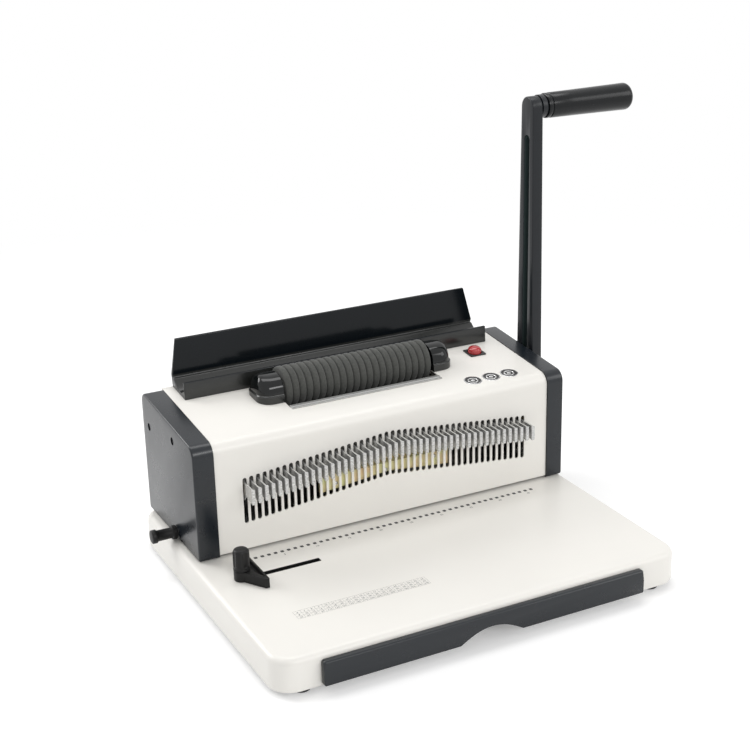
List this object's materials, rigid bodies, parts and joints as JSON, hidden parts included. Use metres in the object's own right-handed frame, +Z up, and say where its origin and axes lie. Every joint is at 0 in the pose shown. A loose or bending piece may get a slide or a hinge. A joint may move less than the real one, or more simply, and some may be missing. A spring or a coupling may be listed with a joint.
{
  "type": "coil binding machine",
  "caption": "Desktop coil binding machine: lever-driven punch with pull-tab pins, powered coil inserting roller, coil trough, sliding paper guide and chip drawer",
  "frame": {"origin": "bottom centre of the machine's bounding box, level with the underside of its feet", "axes": "+X to the operator's right, towards the lever; +Y to the rear, towards the coil trough; +Z up"},
  "size_m": [0.521, 0.3255, 0.3958],
  "materials": {
    "housing_enamel": "warm white fine enamel",
    "yellow_zinc": "yellow zinc plate",
    "foot_rubber": "matt black rubber",
    "slate_plastic": "dark slate, fine texture",
    "bright_steel": "bright ground steel",
    "bush_brass": "turned brass",
    "black_steel": "blackened steel",
    "black_plastic": "plain black",
    "arm_enamel": "dark slate satin enamel",
    "grip_plastic": "semi-gloss black",
    "roller_foam_grey": "ridged warm grey foam",
    "gloss_black": "gloss black",
    "strip_chrome": "polished steel strip",
    "trough_enamel": "blue-black satin enamel",
    "red_plastic": "gloss red",
    "charcoal_plastic": "charcoal, fine texture"
  },
  "bodies": {
    "housing": {"base_shell": "housing_enamel", "base_plate": "yellow_zinc", "foot_1": "foot_rubber", "foot_2": "foot_rubber", "foot_3": "foot_rubber", "foot_4": "foot_rubber", "left_cover": "slate_plastic", "right_cover": "slate_plastic", "left_side_frame": "bright_steel", "right_side_frame": "bright_steel", "shaft_bush_left": "bush_brass", "shaft_bush_right": "bush_brass", "cover_screw_1": "black_steel", "cover_screw_2": "black_steel", "cover_screw_3": "black_steel", "cover_screw_4": "black_steel", "head_cover": "housing_enamel", "rear_panel": "housing_enamel", "power_inlet": "black_plastic", "lower_die": "bright_steel", "pin_guide": "bright_steel", "guide_pillar_left": "bright_steel", "guide_pillar_right": "bright_steel", "return_spring_left": "bright_steel", "return_spring_right": "bright_steel", "roller_cap_left": "gloss_black", "roller_cap_right": "gloss_black", "roller_cradle": "black_plastic", "guard_strip": "strip_chrome", "drive_belt": "foot_rubber", "motor_bracket": "yellow_zinc", "insert_motor": "bright_steel", "coil_trough": "trough_enamel", "switch_bezel": "black_plastic"},
    "lever": {"main_shaft": "bright_steel", "pinion_left": "bright_steel", "pinion_right": "bright_steel", "handle_arm": "arm_enamel", "hub_bolt": "black_steel", "grip_spindle": "arm_enamel"},
    "grip": {"handle_grip": "grip_plastic"},
    "punch": {"punch_beam": "yellow_zinc", "pull_tabs_left": "bright_steel", "pull_tabs_right": "bright_steel", "carriage_left": "bright_steel", "carriage_right": "bright_steel"},
    "drawer": {"drawer_front": "slate_plastic", "drawer_tray": "black_plastic"},
    "roller": {"roller_foam": "roller_foam_grey", "roller_core": "black_plastic", "roller_pulley": "black_plastic"},
    "motor_drive": {"motor_pulley": "black_plastic"},
    "button": {"switch_button": "red_plastic"},
    "side_guide": {"guide_block": "charcoal_plastic", "guide_nut": "bright_steel"},
    "guide_clamp": {"guide_knob": "charcoal_plastic"},
    "margin_knob": {"depth_knob": "gloss_black", "depth_shaft": "bright_steel"},
    "paper_stop": {"back_stop": "bright_steel"}
  },
  "joints": [
    {"name": "lever_hinge", "type": "hinge", "parent": "housing", "child": "lever", "pos_m": [0.14125, 0.1065, 0.0924], "axis": [1, 0, 0], "range_deg": [0, 90]},
    {"name": "punch_slide", "type": "slide", "parent": "housing", "child": "punch", "axis": [0, 0, -1], "range_m": [0, 0.0197], "stiffness_N_per_m": 5000, "springref_m": -0.004, "deforming": ["return_spring_left", "return_spring_right"]},
    {"name": "grip_spin", "type": "hinge", "parent": "lever", "child": "grip", "pos_m": [0.16305, 0.1065, 0.3829], "axis": [1, 0, 0], "continuous": true},
    {"name": "drawer_slide", "type": "slide", "parent": "housing", "child": "drawer", "axis": [0, -1, 0], "range_m": [0, 0.15]},
    {"name": "roller_spin", "type": "hinge", "parent": "housing", "child": "roller", "pos_m": [-0.12355, 0.1035, 0.1534], "axis": [1, 0, 0], "continuous": true},
    {"name": "motor_spin", "type": "hinge", "parent": "housing", "child": "motor_drive", "pos_m": [-0.13625, 0.1265, 0.1164], "axis": [1, 0, 0], "continuous": true},
    {"name": "switch_press", "type": "slide", "parent": "housing", "child": "button", "axis": [0, 0.086, -0.9963], "range_m": [0, 0.0025], "stiffness_N_per_m": 300, "springref_m": -0.0005},
    {"name": "side_guide_slide", "type": "slide", "parent": "housing", "child": "side_guide", "axis": [1, 0, 0], "range_m": [-0.003, 0.068]},
    {"name": "guide_clamp_turn", "type": "hinge", "parent": "side_guide", "child": "guide_clamp", "pos_m": [-0.21405, -0.014, 0.0344], "axis": [0, 0, 1], "range_deg": [0, 180]},
    {"name": "margin_turn", "type": "hinge", "parent": "housing", "child": "margin_knob", "pos_m": [-0.23605, 0.0865, 0.0416], "axis": [1, 0, 0], "range_deg": [-28, 57]},
    {"name": "paper_stop_slide", "type": "slide", "parent": "housing", "child": "paper_stop", "axis": [0, 1, 0], "range_m": [-0.0019, 0.0039]}
  ],
  "couplings": [
    {"joint": "punch_slide", "follows": "lever_hinge", "m_per_rad": 0.0125},
    {"joint": "motor_spin", "follows": "roller_spin", "ratio": 1},
    {"joint": "margin_turn", "follows": "paper_stop_slide", "rad_per_m": 250}
  ]
}
